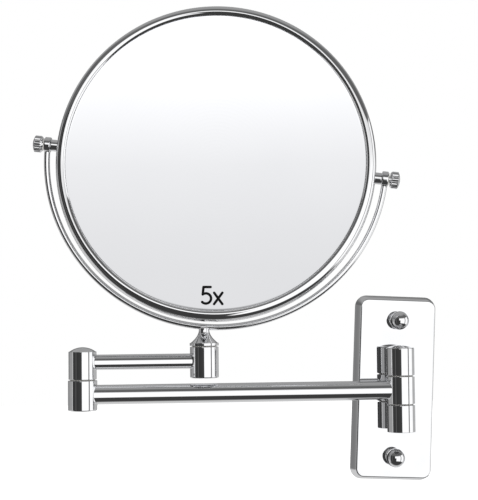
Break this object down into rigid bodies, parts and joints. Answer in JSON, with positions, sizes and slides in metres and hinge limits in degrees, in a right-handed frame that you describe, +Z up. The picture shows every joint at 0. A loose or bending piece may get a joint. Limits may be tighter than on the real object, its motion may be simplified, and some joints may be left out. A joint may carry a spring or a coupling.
{
  "type": "extendable shaving mirror",
  "caption": "Wall-mounted round two-sided shaving mirror in a tilting fork on two folding swing arms with a hinge plate.",
  "frame": {"origin": "centre of the wall bracket's back face, on the wall", "axes": "+Y into the wall, -Y towards the room, +Z up, +X to the right seen from the room; the arms lie folded along the wall towards -X"},
  "size_m": [0.2756, 0.0509, 0.3237],
  "materials": {
    "polished_chrome": "mirror-polished chrome plate",
    "zinc_steel": "zinc-plated steel",
    "nylon": "natural nylon",
    "mirror_glass": "silvered glass",
    "spacer_foam": "black foam"
  },
  "bodies": {
    "wall_mount": {"wall_bracket": "zinc_steel", "stud_upper": "zinc_steel", "stud_lower": "zinc_steel", "cover_plate": "polished_chrome", "dome_nut_upper": "polished_chrome", "dome_nut_lower": "polished_chrome", "nut_washer_upper": "nylon", "nut_washer_lower": "nylon", "hinge_bracket": "polished_chrome", "bracket_screw_upper": "zinc_steel", "bracket_screw_lower": "zinc_steel", "hinge_pin": "zinc_steel", "hinge_cap": "polished_chrome", "hinge_plug": "polished_chrome", "hinge_washer_upper": "nylon", "hinge_washer_lower": "nylon"},
    "lower_arm": {"wall_knuckle": "polished_chrome", "knuckle_bush_upper": "nylon", "knuckle_bush_lower": "nylon", "lower_tube": "polished_chrome", "elbow_lower_barrel": "polished_chrome", "elbow_plug": "polished_chrome", "elbow_bolt": "zinc_steel", "elbow_spring_washer": "zinc_steel", "elbow_nut": "zinc_steel", "elbow_washer": "nylon"},
    "upper_arm": {"elbow_upper_barrel": "polished_chrome", "elbow_bush": "nylon", "elbow_cap": "polished_chrome", "upper_tube": "polished_chrome", "head_barrel": "polished_chrome", "head_bush": "nylon", "head_plug": "polished_chrome", "head_washer": "nylon"},
    "fork": {"swivel_stem": "polished_chrome", "swivel_spring_washer": "zinc_steel", "swivel_nut": "zinc_steel", "fork_rod": "polished_chrome"},
    "mirror": {"hoop": "polished_chrome", "front_bezel": "polished_chrome", "rear_bezel": "polished_chrome", "magnifying_glass": "mirror_glass", "plain_glass": "mirror_glass", "glass_spacer": "spacer_foam", "pivot_boss_left": "polished_chrome", "pivot_boss_right": "polished_chrome"},
    "knob_left": {"tilt_knob_left": "polished_chrome", "knob_washer_left": "nylon"},
    "knob_right": {"tilt_knob_right": "polished_chrome", "knob_washer_right": "nylon"}
  },
  "joints": [
    {"name": "wall_swing", "type": "hinge", "parent": "wall_mount", "child": "lower_arm", "pos_m": [0, -0.0275, 0], "axis": [0, 0, 1], "range_deg": [0, 180]},
    {"name": "elbow_swing", "type": "hinge", "parent": "lower_arm", "child": "upper_arm", "pos_m": [-0.2123, -0.0275, 0.0097], "axis": [0, 0, 1], "continuous": true},
    {"name": "head_swivel", "type": "hinge", "parent": "upper_arm", "child": "fork", "pos_m": [-0.132, -0.0275, 0.0309], "axis": [0, 0, 1], "continuous": true},
    {"name": "mirror_tilt", "type": "hinge", "parent": "fork", "child": "mirror", "pos_m": [-0.12335, -0.02856, 0.15346], "axis": [0.986, -0.1211, -0.1149], "continuous": true},
    {"name": "knob_left_turn", "type": "hinge", "parent": "mirror", "child": "knob_left", "pos_m": [-0.12335, -0.02856, 0.15346], "axis": [-0.986, 0.1211, 0.1149], "range_deg": [0, 360]},
    {"name": "knob_right_turn", "type": "hinge", "parent": "mirror", "child": "knob_right", "pos_m": [-0.12335, -0.02856, 0.15346], "axis": [0.986, -0.1211, -0.1149], "range_deg": [0, 360]}
  ]
}
